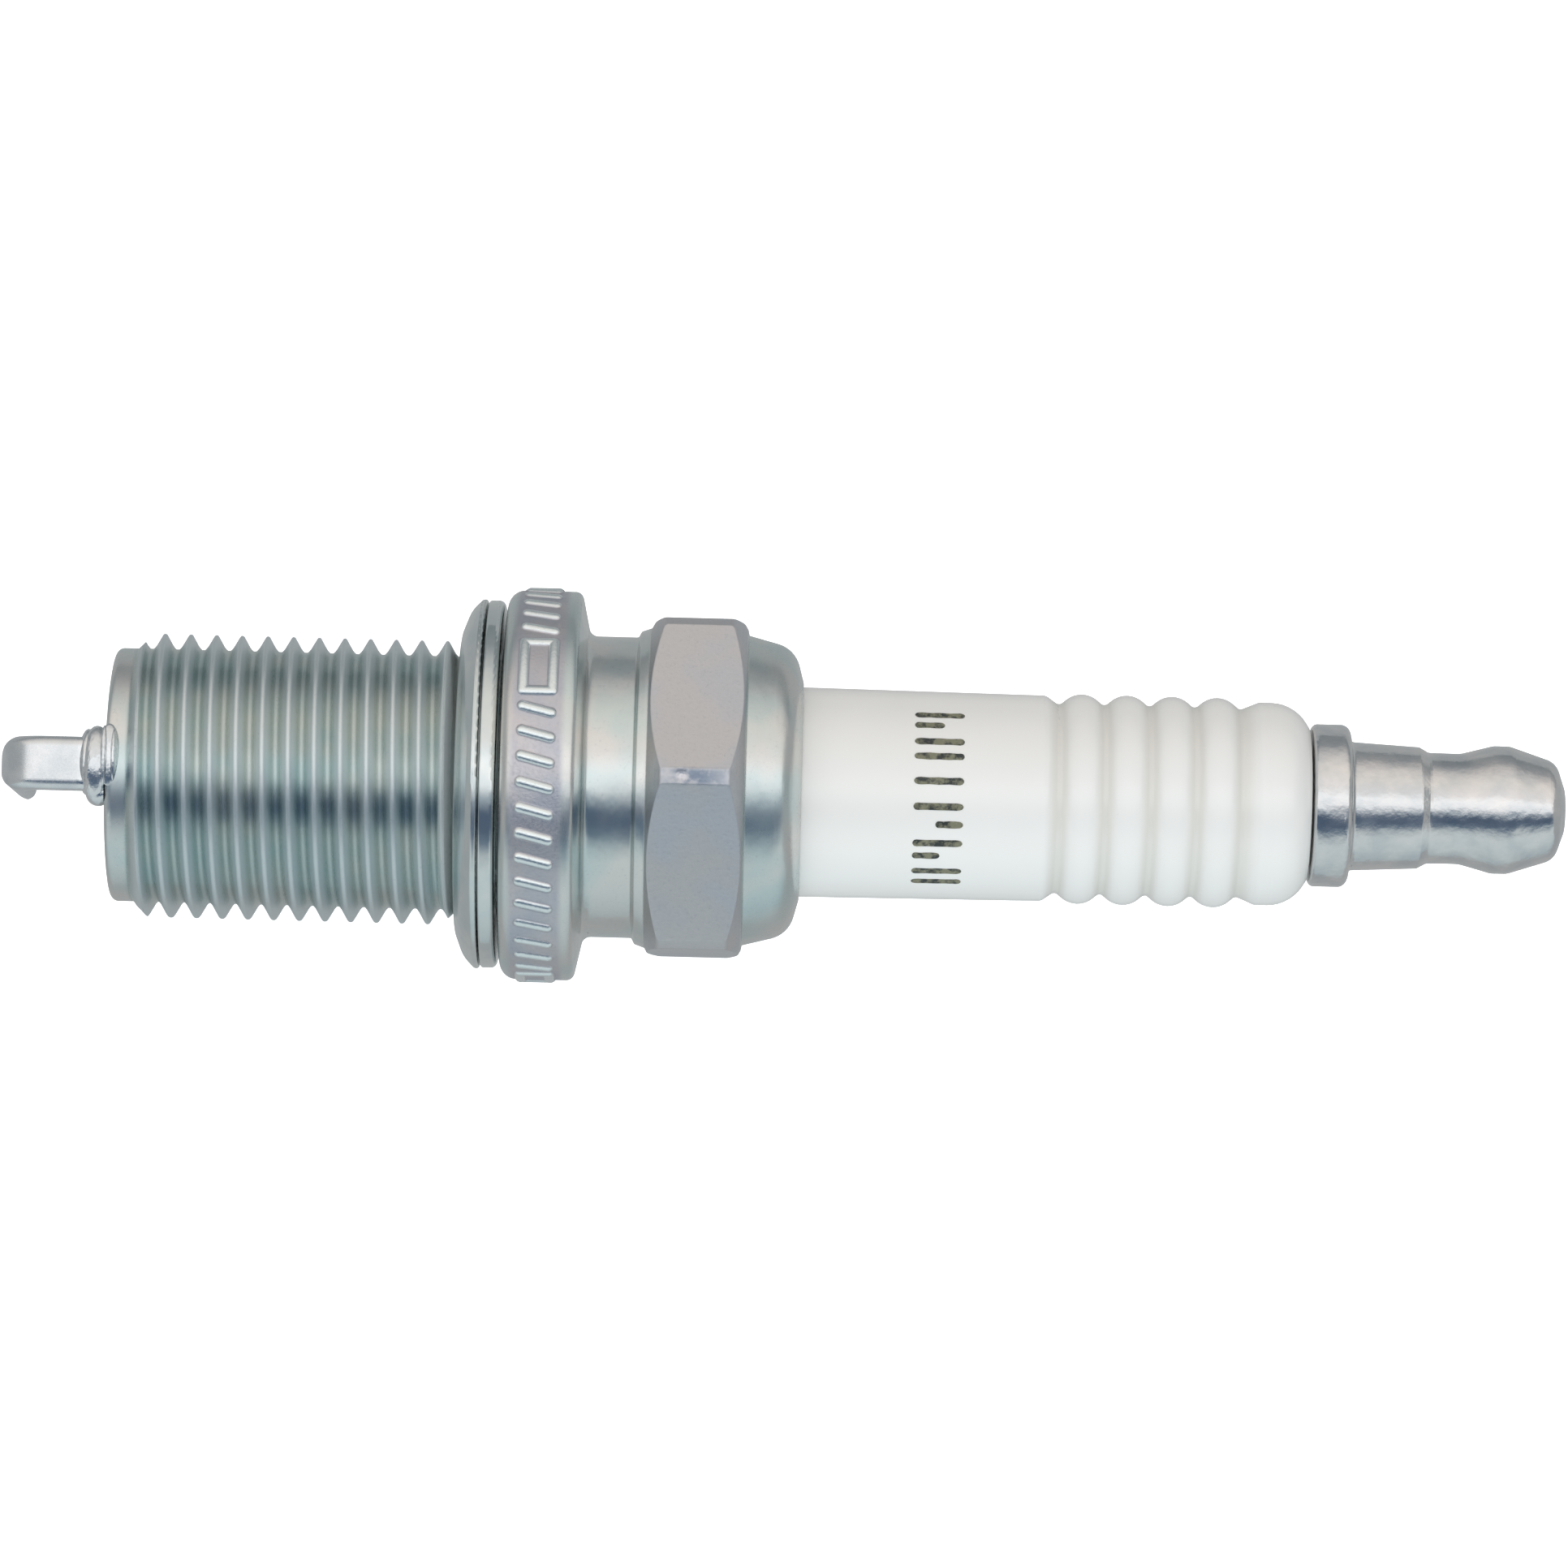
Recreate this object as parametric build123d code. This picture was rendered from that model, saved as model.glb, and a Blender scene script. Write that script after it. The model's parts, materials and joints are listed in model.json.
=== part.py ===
"""Spark plug, lying along X: M14 x 1.25 thread, 19 mm reach, 16 mm hexagon, removable terminal nut.

The origin is on the plug's axis, in the plane of the shell's seat face (the front face of its flange).
+X points to the terminal, -X to the spark gap, and the ground electrode stands on the +Z side.
Every turned piece is an outline of (x, radius, corner radius) points, revolved about the X axis.
"""
import os

from build123d import *

# ---- driving dimensions, mm ----

# main thread and reach
REACH = 19.0
THREAD_R = 13.83 / 2
THREAD_PITCH = 1.25
THREAD_ROOT_R = 12.34 / 2
THREAD_START_X = -17.95
THREAD_END_X = -2.15
THREAD_RUN_OUT = 0.745
THREAD_CREST_X = -16.7
NECK_R = 6.0
NECK_X = -2.0
LAND_CORNER = 0.35

# thread form, as fractions of the pitch
CREST_HALF = 0.05
CREST_ROUND = 0.083
EASE_HEIGHT = 0.104
EASE_ROUND = 0.4
RIDGE_SUNK = 0.04
FLANK_SPREAD = 0.5774
EASE_SPREAD = 1.05

# flange that carries the gasket
FLANGE_R = 19.24 / 2
FLANGE_WIDTH = 3.56
FLANGE_FRONT_CORNER = 0.8
FLANGE_REAR_CORNER = 0.4
MARK_HEIGHT = 0.15
MARK_COUNT = 48
MARK_SLANT = -14.0
MARK_LENGTH = 2.05
MARK_ROUND = 0.32
MARK_CENTRE_X = 1.75
FRAME_FIRST = 5
FRAME_EVERY = 16
FRAME_HALF_SPAN = 9.0

# buckled groove, wrench hexagon and crimped rim
GROOVE_R = 14.66 / 2
GROOVE_START_X = 4.02
GROOVE_END_X = 6.35
GROOVE_CORNER = 0.45
STEP_X = 6.5
STEP_R = 7.62
STEP_CORNER = 0.12
HEX_ACROSS_FLATS = 16.0
HEX_CORNER_R = 9.03
HEX_START_X = 7.0
HEX_END_X = 11.7
HEX_CHAMFER_R = 7.8
HEX_CHAMFER = 0.68
HEX_CORNER_ROUND = 0.25
HEX_TURN = -4.0
RIM_START_X = 11.75
RIM_R = 15.1 / 2
RIM_CORNER_R = 6.97
RIM_CORNER_X = 14.0
RIM_ROUND = 1.5
RIM_END_X = 14.48
RIM_BORE_R = 5.17

# inside of the shell
GAS_BORE_R = 4.7
GAS_BORE_END_X = -10.3
LEDGE_R = 4.0
LEDGE_FRONT_X = -9.6
LEDGE_REAR_X = -7.68
LEDGE_SEAT = 0.43
SHELL_BORE_R = 4.75
POCKET_R = 6.0
POCKET_START_X = 3.0
POCKET_END_X = 12.95
LIP_X = 13.35

# insulator
NOSE_X = -18.6
NOSE_TIP_R = 2.3
NOSE_ROOT_R = 3.8
INSULATOR_BODY_R = 4.6
COLLAR_R = 5.85
COLLAR_START_X = 3.35
COLLAR_END_X = 8.3
COLLAR_SHOULDER_X = 8.9
SHOULDER_FRONT_X = -7.38
SHOULDER_REAR_X = -6.92
NECK_LOW_R = 10.22 / 2
NECK_HIGH_R = 10.03 / 2
NECK_END_X = 26.25
INSULATOR_TOP_X = 39.1
INSULATOR_TOP_R = 3.75
INSULATOR_CORNER_X = 38.35
INSULATOR_ROUND = 2.0
LAST_RIB_X = 36.62
LAST_RIB_R = 4.94
RIB_COUNT = 5
RIB_FIRST_X = 28.0
RIB_PITCH = 2.2
RIB_MEAN_R = 5.0145
RIB_PEAK = 0.4615
RIB_CREST_ROUND = 1.2
RIB_VALLEY_ROUND = 0.25
WIRE_BORE_R = 1.32
STUD_BORE_R = 2.05
BORE_STEP_X = -8.0
BORE_STEP_REAR_X = -7.27

# electrodes
TIP_X = -21.95
TIP_R = 0.85
TIP_END_X = -20.55
SHEATH_START_X = -20.15
SHEATH_R = 1.25
CORE_R = 0.78
CORE_START_X = -19.6
CORE_TAPER = 0.3
CORE_PLAY = 0.02
HEAD_R = 1.88
HEAD_START_X = -7.4
HEAD_SHOULDER_X = -6.5
HEAD_END_X = -5.8
HEAD_END_R = 1.5
STRAP_WIDTH = 2.6
STRAP_THICKNESS = 1.3
STRAP_OUTER_X = -24.15
STRAP_OUTER_R = 6.0
STRAP_BEND_R = 1.75
STRAP_PAST_AXIS = 1.0
STRAP_EDGE = 0.5
STRAP_END_ROUND = 0.4
STRAP_CORNER = 1.1
STRAP_TURN = -5.0

# weld flash round the strap's foot: (x, y, z) centre and (x, y, z) half size of each lump
FLASH_LUMPS = [
    ((-19.42, 0.0, 5.35), (0.82, 1.86, 1.12)),
    ((-19.85, 0.1, 5.3), (0.48, 1.6, 0.95)),
    ((-18.80, 0.38, 5.93), (0.58, 1.55, 0.43)),
    ((-19.02, 0.38, 6.02), (0.22, 1.45, 0.50)),
    ((-18.56, 0.40, 5.98), (0.19, 1.28, 0.52)),
    ((-19.30, -1.35, 5.2), (0.62, 0.66, 0.80)),
]

# conductive column in the insulator's bore
SEAL_R = 2.04
RESISTOR_START_X = -2.0
RESISTOR_END_X = 8.0
UPPER_SEAL_END_X = 13.0
STUD_START_X = 9.0
STUD_END_R = 1.75

# packing between shell and insulator
WIRE_RING_R = 0.4
WIRE_RING_CENTRE_R = 5.56
LOWER_RING_X = 9.12
UPPER_RING_X = 12.70
WASHER_THICKNESS = 0.35
PACKING_PLAY = 0.02
WASHER_PLAY = 0.03

# gasket
GASKET_OUTER_R = 8.99
GASKET_INNER_R = 6.62
GASKET_FRONT_X = -2.2
GASKET_REAR_X = -0.15
GASKET_BAND_R = 8.95
GASKET_SHEET = 0.36
GASKET_SEAM = 0.06
GASKET_SEAM_X = -0.98
GASKET_LIP_X = -1.75
GASKET_LIP_R = 6.75
GASKET_CROWN_R = 7.35
GASKET_DOME_X = -1.78
GASKET_DOME_R = 8.45
GASKET_DOME_ROUND = 1.6
GASKET_SHOULDER_X = -1.25
GASKET_FOLD_R = 8.49
GASKET_INNER_DOME_X = -1.45
GASKET_INNER_DOME_R = 8.33
GASKET_INNER_CROWN_R = 7.25
GASKET_RETURN_R = 7.22

# terminal
STUD_R = 1.9
STUD_COLLAR_R = 3.0
STUD_COLLAR = 0.7
TERMINAL_THREAD_R = 1.96
TERMINAL_THREAD_ROOT_R = 1.58
TERMINAL_PITCH = 0.7
TERMINAL_THREAD_START_X = 40.6
TERMINAL_THREAD_END_X = 47.1
TERMINAL_CREST_X = 41.1
STUD_CONE = 0.3
STUD_END_CHAMFER = 0.4
STUD_GROOVE_COUNT = 5
STUD_GROOVE_FIRST_X = 9.5
STUD_GROOVE_PITCH = 0.7
STUD_GROOVE_HALF = 0.15
STUD_GROOVE_DEPTH = 0.2
STUD_END_X = 47.2
NUT_START_X = 39.2
NUT_FLANGE_R = 3.96
NUT_FLANGE = 1.9
NUT_STEM_R = 3.14
NUT_STEM_TOP_X = 44.5
NUT_STEM_TOP_R = 2.965
NUT_NECK_START_X = 44.95
NUT_NECK_END_X = 46.5
NUT_NECK_R = 2.69
NUT_HEAD_R = 6.23 / 2
NUT_HEAD_X = 48.5
NUT_HEAD_BAND = 0.8
NUT_HEAD_ROUND = 1.0
NUT_CONE_X = 51.15
NUT_CONE_R = 2.38
NUT_CONE_ROUND = 0.9
NUT_END_X = 51.6
NUT_END_R = 1.1
NUT_BORE_R = 2.02
NUT_BORE_END_X = 48.3
NUT_BORE_CONE = 0.9
NUT_COUNTERBORE_R = 3.1
NUT_COUNTERBORE = 0.75


# ---- shape helpers ----

def turned(outline):
    """Solid of revolution about X from (x, radius, corner radius) points."""
    points = [(x, r) for x, r, _ in outline]
    corners = [corner for _, _, corner in outline]
    wire = FilletPolyline(*points, radius=corners, close=True)
    return revolve(make_face(wire), Axis.X)


def cylinder_x(radius, start, end):
    """Plain cylinder along X between two x positions."""
    upright = Cylinder(radius, end - start, align=(Align.CENTER, Align.CENTER, Align.MIN))
    return Pos(start, 0, 0) * Rot(0, 90, 0) * upright


def thread_ridge(major_r, root_r, pitch, first_x, last_x, crest_x):
    """Right-hand ridge of a 60 degree thread, its crest passing +Y at crest_x and its feet eased out."""
    foot_r = root_r - RIDGE_SUNK * pitch
    ease_r = root_r + EASE_HEIGHT * pitch
    crest_half = CREST_HALF * pitch
    ease_half = crest_half + (major_r - ease_r) * FLANK_SPREAD
    foot_half = ease_half + (ease_r - foot_r) * EASE_SPREAD
    turns_before = int((crest_x - first_x) / pitch) + 2
    begin_x = crest_x - turns_before * pitch
    length = (int((last_x - begin_x) / pitch) + 2) * pitch
    helix = Edge.make_helix(pitch, length, root_r)
    crest_round = CREST_ROUND * pitch
    ease_round = EASE_ROUND * pitch
    section = FilletPolyline(
        (foot_r, -foot_half),
        (ease_r, -ease_half),
        (major_r, -crest_half),
        (major_r, crest_half),
        (ease_r, ease_half),
        (foot_r, foot_half),
        radius=[0, ease_round, crest_round, crest_round, ease_round, 0],
        close=True,
    )
    face = Plane.XZ * make_face(section)
    ridge = sweep(face, path=helix, is_frenet=True)
    return Pos(begin_x, 0, 0) * Rot(0, 90, 0) * Rot(0, 0, 90) * ridge


def thread_envelope(major_r, root_r, first_x, last_x, run_out):
    """Barrel that trims a thread's ends to a 45 degree lead-in cone and a run-out cone of a given length."""
    over = 0.2
    under = 0.3
    top_r = major_r + over
    lean = run_out / (major_r - root_r)
    return turned([
        (first_x - under, 0, 0),
        (first_x - under, root_r - under, 0),
        (first_x + top_r - root_r, top_r, 0),
        (last_x - (top_r - root_r) * lean, top_r, 0),
        (last_x + under * lean, root_r - under, 0),
        (last_x + under * lean, 0, 0),
    ])


def trimmed_thread(major_r, root_r, pitch, first_x, last_x, crest_x, run_out):
    ridge = thread_ridge(major_r, root_r, pitch, first_x, last_x, crest_x)
    return ridge & thread_envelope(major_r, root_r, first_x, last_x, run_out)


def around_x(shape, angle):
    return Rot(angle, 0, 0) * shape


# ---- shell ----

def shell_profile():
    band_r = FLANGE_R - MARK_HEIGHT
    outer = [
        (-REACH, GAS_BORE_R, 0.15),
        (-REACH, THREAD_ROOT_R, LAND_CORNER),
        (THREAD_END_X, THREAD_ROOT_R, 0),
        (NECK_X, NECK_R, 0.1),
        (0, NECK_R, 0.25),
        (0, band_r, FLANGE_FRONT_CORNER),
        (FLANGE_WIDTH, band_r, FLANGE_REAR_CORNER),
        (GROOVE_START_X, GROOVE_R, GROOVE_CORNER),
        (GROOVE_END_X, GROOVE_R, STEP_CORNER),
        (STEP_X, STEP_R, STEP_CORNER),
        (HEX_START_X, HEX_CHAMFER_R, 0),
        (HEX_START_X + HEX_CHAMFER, HEX_CORNER_R, HEX_CORNER_ROUND),
        (HEX_END_X - HEX_CHAMFER, HEX_CORNER_R, HEX_CORNER_ROUND),
        (HEX_END_X, HEX_CHAMFER_R, 0),
        (RIM_START_X, RIM_R, 0.05),
        (RIM_CORNER_X, RIM_CORNER_R, RIM_ROUND),
        (RIM_END_X, RIM_BORE_R, 0.1),
    ]
    inner = [
        (LIP_X, RIM_BORE_R, 0.1),
        (POCKET_END_X, POCKET_R, 0.2),
        (POCKET_START_X, POCKET_R, 0.2),
        (POCKET_START_X - POCKET_R + SHELL_BORE_R, SHELL_BORE_R, 0.2),
        (LEDGE_REAR_X + LEDGE_SEAT, SHELL_BORE_R, 0),
        (LEDGE_REAR_X, LEDGE_R, 0),
        (LEDGE_FRONT_X, LEDGE_R, 0.2),
        (GAS_BORE_END_X, GAS_BORE_R, 0.3),
    ]
    return outer + inner


def hex_waste():
    """Everything outside the hexagon's flats, over the hexagon's length."""
    length = HEX_END_X - HEX_START_X
    flats = RegularPolygon(HEX_ACROSS_FLATS / 2, 6, major_radius=False)
    ring = Circle(2 * HEX_CORNER_R) - flats
    upright = extrude(ring, amount=length)
    # the polygon has a corner on its local X, which becomes -Z
    return around_x(Pos(HEX_START_X, 0, 0) * Rot(0, 90, 0) * upright, HEX_TURN)


def flange_bar(slant):
    """Round-topped bar half sunk in the top of the flange's band, leaning from the plug's axis."""
    half = MARK_LENGTH / 2 - MARK_ROUND
    bar = Cylinder(MARK_ROUND, 2 * half, rotation=(0, 90, 0))
    for end in (-half, half):
        bar = bar + Pos(end, 0, 0) * Sphere(MARK_ROUND)
    return Pos(MARK_CENTRE_X, 0, FLANGE_R - MARK_ROUND) * Rot(0, 0, slant) * bar


def flange_frame():
    """Empty four-sided outline of the same round-topped bars."""
    half = MARK_LENGTH / 2 - MARK_ROUND
    pieces = []
    for angle in (-FRAME_HALF_SPAN, FRAME_HALF_SPAN):
        pieces.append(around_x(flange_bar(0), angle))
    for x in (MARK_CENTRE_X - half, MARK_CENTRE_X + half):
        section = Pos(x, FLANGE_R - MARK_ROUND) * Circle(MARK_ROUND)
        arc = revolve(section, Axis.X, revolution_arc=2 * FRAME_HALF_SPAN)
        # the arc starts at +Y; a quarter turn less half its span centres it on +Z
        pieces.append(around_x(arc, 90 - FRAME_HALF_SPAN))
    return pieces


def flange_marks():
    """Plain slanted bars round the flange, with an empty frame in a few places."""
    step = 360 / MARK_COUNT
    bar = flange_bar(MARK_SLANT)
    frame = flange_frame()
    marks = []
    for index in range(MARK_COUNT):
        place = (index - FRAME_FIRST) % FRAME_EVERY
        if place == 0:
            marks += [around_x(piece, -index * step) for piece in frame]
        elif place not in (1, FRAME_EVERY - 1):
            marks.append(around_x(bar, -index * step))
    return marks


def make_shell():
    body = turned(shell_profile()) - hex_waste()
    body = body + trimmed_thread(
        THREAD_R,
        THREAD_ROOT_R,
        THREAD_PITCH,
        THREAD_START_X,
        THREAD_END_X,
        THREAD_CREST_X,
        THREAD_RUN_OUT,
    )
    for mark in flange_marks():
        body = body + mark
    return body


# ---- ground electrode ----

def flash_lump(centre, half_sizes):
    return Pos(*centre) * scale(Sphere(1), by=half_sizes)


def make_ground_electrode():
    """L-shaped strap standing on the shell's rim, with the flash of its weld around the foot."""
    mid_r = STRAP_OUTER_R - STRAP_THICKNESS / 2
    mid_x = STRAP_OUTER_X + STRAP_THICKNESS / 2
    path = FilletPolyline(
        (-REACH, 0, mid_r),
        (mid_x, 0, mid_r),
        (mid_x, 0, -STRAP_PAST_AXIS),
        radius=STRAP_BEND_R,
    )
    section = Plane.YZ * RectangleRounded(STRAP_WIDTH, STRAP_THICKNESS, STRAP_EDGE)
    strap = sweep(Pos(-REACH, 0, mid_r) * section, path=path)
    end_face = strap.faces().sort_by(Axis.Z)[0]
    strap = fillet(end_face.edges(), STRAP_END_ROUND)
    # seen from above, the bend's two outer corners are rounded off
    plan_length = 2 * STRAP_OUTER_R
    plan_outline = RectangleRounded(plan_length, STRAP_WIDTH + 0.01, STRAP_CORNER)
    plan = extrude(plan_outline, amount=2 * STRAP_OUTER_R, both=True)
    strap = strap & (Pos(STRAP_OUTER_X + plan_length / 2, 0, 0) * plan)
    for centre, half_sizes in FLASH_LUMPS:
        strap = strap + flash_lump(centre, half_sizes)
    shell_end = cylinder_x(THREAD_ROOT_R, -REACH, THREAD_START_X)
    inside = cylinder_x(GAS_BORE_R, STRAP_OUTER_X + STRAP_THICKNESS, THREAD_START_X)
    keep_arm = cylinder_x(GAS_BORE_R, STRAP_OUTER_X - 1, TIP_X)
    return around_x(strap - shell_end - (inside - keep_arm), STRAP_TURN)


# ---- seat gasket ----

def make_seat_gasket():
    """Ring folded from one strip: domed front layer, return layer, and a doubled rear layer."""
    front = GASKET_FRONT_X
    rear = GASKET_REAR_X
    sheet = GASKET_SHEET
    seam_front = GASKET_SEAM_X - GASKET_SEAM / 2
    seam_rear = GASKET_SEAM_X + GASKET_SEAM / 2
    return turned([
        (GASKET_LIP_X, GASKET_INNER_R, 0),
        (front, GASKET_LIP_R, 0.2),
        (front, GASKET_CROWN_R, 1.0),
        (GASKET_DOME_X, GASKET_DOME_R, GASKET_DOME_ROUND),
        (GASKET_SHOULDER_X, GASKET_OUTER_R, 0.2),
        (seam_front, GASKET_OUTER_R, 0.12),
        (seam_front, GASKET_RETURN_R, 0),
        (seam_rear, GASKET_RETURN_R, 0),
        (seam_rear, GASKET_BAND_R, 0.15),
        (rear, GASKET_BAND_R, 0.3),
        (rear, GASKET_LIP_R, 0.1),
        (rear - sheet, GASKET_LIP_R, 0.1),
        (rear - sheet, GASKET_FOLD_R, 0),
        (rear - sheet - GASKET_SEAM, GASKET_FOLD_R, 0),
        (rear - sheet - GASKET_SEAM, GASKET_LIP_R, 0.15),
        (seam_front - sheet, GASKET_LIP_R + 0.09, 0.15),
        (seam_front - sheet, GASKET_FOLD_R, 0),
        (GASKET_INNER_DOME_X, GASKET_INNER_DOME_R, 0.1),
        (front + sheet, GASKET_INNER_CROWN_R, 0.3),
        (front + sheet, GASKET_INNER_R + 0.43, 0.1),
        (front + 0.58, GASKET_INNER_R + 0.36, 0),
    ])


# ---- insulator ----

def insulator_ribs():
    """Ridges between narrow valleys; the last ridge is part of the insulator's rounded end."""
    points = []
    for index in range(RIB_COUNT):
        x = RIB_FIRST_X + index * RIB_PITCH
        points.append((x - RIB_PITCH / 2, RIB_MEAN_R - RIB_PEAK, RIB_VALLEY_ROUND))
        if index < RIB_COUNT - 1:
            points.append((x, RIB_MEAN_R + RIB_PEAK, RIB_CREST_ROUND))
    return points


def make_insulator():
    body = [
        (NOSE_X, WIRE_BORE_R, 0.1),
        (NOSE_X, NOSE_TIP_R, 0.5),
        (LEDGE_FRONT_X, NOSE_ROOT_R, 0.5),
        (SHOULDER_FRONT_X, NOSE_ROOT_R, 0),
        (SHOULDER_REAR_X, INSULATOR_BODY_R, 0),
        (COLLAR_START_X - COLLAR_R + INSULATOR_BODY_R, INSULATOR_BODY_R, 0.3),
        (COLLAR_START_X, COLLAR_R, 0.3),
        (COLLAR_END_X, COLLAR_R, 0.2),
        (COLLAR_SHOULDER_X, NECK_LOW_R + 0.01, 0.15),
        (RIM_END_X, NECK_LOW_R, 0),
        (NECK_END_X, NECK_HIGH_R, 0.5),
    ]
    end_and_bore = [
        (LAST_RIB_X, LAST_RIB_R, 0.5),
        (INSULATOR_CORNER_X, LAST_RIB_R, INSULATOR_ROUND),
        (INSULATOR_TOP_X, INSULATOR_TOP_R, 0.12),
        (INSULATOR_TOP_X, STUD_BORE_R, 0.1),
        (BORE_STEP_REAR_X, STUD_BORE_R, 0),
        (BORE_STEP_X, WIRE_BORE_R, 0),
    ]
    return turned(body + insulator_ribs() + end_and_bore)


# ---- centre electrode ----

def make_centre_electrode():
    """Nickel sheath: turned-down tip, shank and the head that rests on the bore's step."""
    return turned([
        (TIP_X, 0, 0),
        (TIP_X, TIP_R, 0.06),
        (TIP_END_X, TIP_R, 0.15),
        (SHEATH_START_X, SHEATH_R, 0.15),
        (BORE_STEP_X - 0.03, SHEATH_R, 0),
        (HEAD_START_X, HEAD_R, 0.1),
        (HEAD_SHOULDER_X, HEAD_R, 0.1),
        (HEAD_END_X, HEAD_END_R, 0.1),
        (HEAD_END_X, CORE_R, 0),
        (CORE_START_X, CORE_R, 0.2),
        (CORE_START_X - CORE_TAPER, 0, 0),
    ])


def make_centre_electrode_core():
    inner_r = CORE_R - CORE_PLAY
    return turned([
        (CORE_START_X - CORE_TAPER + 0.1, 0, 0),
        (CORE_START_X + 0.05, inner_r, 0.15),
        (HEAD_END_X, inner_r, 0),
        (HEAD_END_X, 0, 0),
    ])


# ---- conductive column ----

def make_lower_glass_seal():
    return cylinder_x(SEAL_R, HEAD_END_X, RESISTOR_START_X)


def make_resistor():
    return cylinder_x(SEAL_R, RESISTOR_START_X, RESISTOR_END_X)


def make_upper_glass_seal():
    """Cup of glass that grips the stud's grooved end."""
    cup_r = STUD_END_R + 0.01
    return turned([
        (RESISTOR_END_X, 0, 0),
        (RESISTOR_END_X, SEAL_R, 0),
        (UPPER_SEAL_END_X, SEAL_R, 0),
        (UPPER_SEAL_END_X, cup_r, 0),
        (STUD_START_X, cup_r, 0),
        (STUD_START_X, 0, 0),
    ])


# ---- packing ----

def wire_ring(x):
    circle = Pos(x, WIRE_RING_CENTRE_R) * Circle(WIRE_RING_R)
    return revolve(circle, Axis.X)


def make_powder_seal():
    start = LOWER_RING_X + WIRE_RING_R + PACKING_PLAY
    end = UPPER_RING_X - WIRE_RING_R - PACKING_PLAY
    inner = NECK_LOW_R + 1.5 * PACKING_PLAY
    outer = POCKET_R - PACKING_PLAY
    return turned([
        (start, inner, 0),
        (start, outer, 0),
        (end, outer, 0),
        (end, inner, 0),
    ])


def make_inner_packing_washer():
    """Conical washer between the shell's ledge and the insulator's shoulder."""
    lean = LEDGE_SEAT / (SHELL_BORE_R - LEDGE_R)
    across = (1 + lean * lean) ** 0.5
    shift_x = WASHER_THICKNESS / across
    shift_r = -WASHER_THICKNESS * lean / across
    low_r = LEDGE_R + WASHER_PLAY
    high_r = SHELL_BORE_R - WASHER_PLAY
    low_x = LEDGE_REAR_X + lean * WASHER_PLAY
    high_x = LEDGE_REAR_X + LEDGE_SEAT - lean * WASHER_PLAY
    return turned([
        (low_x, low_r, 0),
        (high_x, high_r, 0),
        (high_x + shift_x, high_r + shift_r, 0),
        (low_x + shift_x, low_r + shift_r, 0),
    ])


# ---- terminal ----

def stud_grooves():
    """V grooves round the stud's buried end, which the glass grips."""
    points = []
    for index in range(STUD_GROOVE_COUNT):
        x = STUD_GROOVE_FIRST_X + index * STUD_GROOVE_PITCH
        points.append((x, STUD_END_R, 0))
        points.append((x + STUD_GROOVE_HALF, STUD_END_R - STUD_GROOVE_DEPTH, 0))
        points.append((x + 2 * STUD_GROOVE_HALF, STUD_END_R, 0))
    return points


def make_terminal_stud():
    collar_end = INSULATOR_TOP_X + STUD_COLLAR
    buried_end = [
        (STUD_START_X, 0, 0),
        (STUD_START_X, STUD_END_R - 0.25, 0),
        (STUD_START_X + 0.25, STUD_END_R, 0),
    ]
    shank = [
        (UPPER_SEAL_END_X, STUD_END_R, 0),
        (UPPER_SEAL_END_X + STUD_CONE, STUD_R, 0),
        (INSULATOR_TOP_X, STUD_R, 0),
        (INSULATOR_TOP_X, STUD_COLLAR_R, 0.15),
        (collar_end, STUD_COLLAR_R, 0.15),
        (collar_end, TERMINAL_THREAD_ROOT_R, 0.15),
        (STUD_END_X - STUD_END_CHAMFER, TERMINAL_THREAD_ROOT_R, 0),
        (STUD_END_X, TERMINAL_THREAD_ROOT_R - STUD_END_CHAMFER, 0),
        (STUD_END_X, 0, 0),
    ]
    return turned(buried_end + stud_grooves() + shank) + trimmed_thread(
        TERMINAL_THREAD_R,
        TERMINAL_THREAD_ROOT_R,
        TERMINAL_PITCH,
        TERMINAL_THREAD_START_X,
        TERMINAL_THREAD_END_X,
        TERMINAL_CREST_X,
        TERMINAL_THREAD_R - TERMINAL_THREAD_ROOT_R,
    )


def make_terminal_nut():
    """Terminal barrel: flange, tapered stem, neck and rounded head, with a blind bore from below."""
    flange_end = NUT_START_X + NUT_FLANGE
    counterbore_end = NUT_START_X + NUT_COUNTERBORE
    return turned([
        (NUT_START_X, NUT_COUNTERBORE_R, 0.05),
        (NUT_START_X, NUT_FLANGE_R, 0.3),
        (flange_end, NUT_FLANGE_R, 0.45),
        (flange_end, NUT_STEM_R, 0.25),
        (NUT_STEM_TOP_X, NUT_STEM_TOP_R, 0.2),
        (NUT_NECK_START_X, NUT_NECK_R + 0.02, 0.3),
        (NUT_NECK_END_X, NUT_NECK_R, 1.5),
        (NUT_HEAD_X - NUT_HEAD_BAND / 2, NUT_HEAD_R, NUT_HEAD_ROUND),
        (NUT_HEAD_X + NUT_HEAD_BAND / 2, NUT_HEAD_R, NUT_HEAD_ROUND),
        (NUT_CONE_X, NUT_CONE_R, NUT_CONE_ROUND),
        (NUT_END_X, NUT_END_R, 0.5),
        (NUT_END_X, 0, 0),
        (NUT_BORE_END_X + NUT_BORE_CONE, 0, 0),
        (NUT_BORE_END_X, NUT_BORE_R, 0),
        (counterbore_end, NUT_BORE_R, 0.1),
        (counterbore_end, NUT_COUNTERBORE_R, 0.1),
    ])


# ---- write one STEP file per piece ----

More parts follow.
